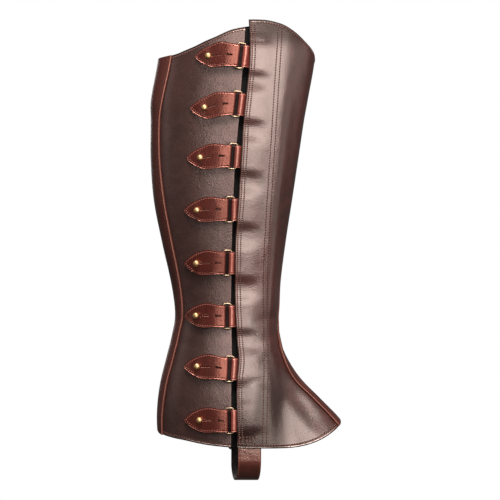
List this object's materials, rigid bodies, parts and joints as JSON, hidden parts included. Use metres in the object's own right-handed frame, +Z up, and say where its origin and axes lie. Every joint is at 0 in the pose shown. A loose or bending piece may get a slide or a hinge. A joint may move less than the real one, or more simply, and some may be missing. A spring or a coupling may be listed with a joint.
{
  "type": "knee-high leather gaiter",
  "caption": "Tall brown leather riding gaiter for the right leg, closed down its outer side by turned-back straps through wire rings onto ball studs, with a stirrup strap under the boot.",
  "frame": {"origin": "on the leg's axis at the ankle, where the gaiter is narrowest and the wearer's leg holds it", "axes": "+Z up the leg, the longest extent; +X towards the toe; -Y is the outer side, with the closures"},
  "size_m": [0.201, 0.0883, 0.4842],
  "materials": {
    "dark_leather": "satin",
    "brown_leather": "satin",
    "red_leather": "satin",
    "brass": "polished"
  },
  "bodies": {
    "root": {"buckle_chape": "red_leather", "buckle_frame": "brass", "buckle_prong": "brass", "front_band": "red_leather", "front_panel": "brown_leather", "inner_panel": "dark_leather", "keeper_1": "red_leather", "keeper_2": "red_leather", "keeper_3": "red_leather", "keeper_4": "red_leather", "keeper_5": "red_leather", "keeper_6": "red_leather", "keeper_7": "red_leather", "keeper_8": "red_leather", "rear_band": "red_leather", "rear_panel": "dark_leather", "ring_1": "brass", "ring_2": "brass", "ring_3": "brass", "ring_4": "brass", "ring_5": "brass", "ring_6": "brass", "ring_7": "brass", "ring_8": "brass", "stirrup_strap": "red_leather", "strap_1": "red_leather", "strap_2": "red_leather", "strap_3": "red_leather", "strap_4": "red_leather", "strap_5": "red_leather", "strap_6": "red_leather", "strap_7": "red_leather", "strap_8": "red_leather", "stud_1": "brass", "stud_2": "brass", "stud_3": "brass", "stud_4": "brass", "stud_5": "brass", "stud_6": "brass", "stud_7": "brass", "stud_8": "brass", "underlap": "dark_leather"}
  },
  "joints": []
}
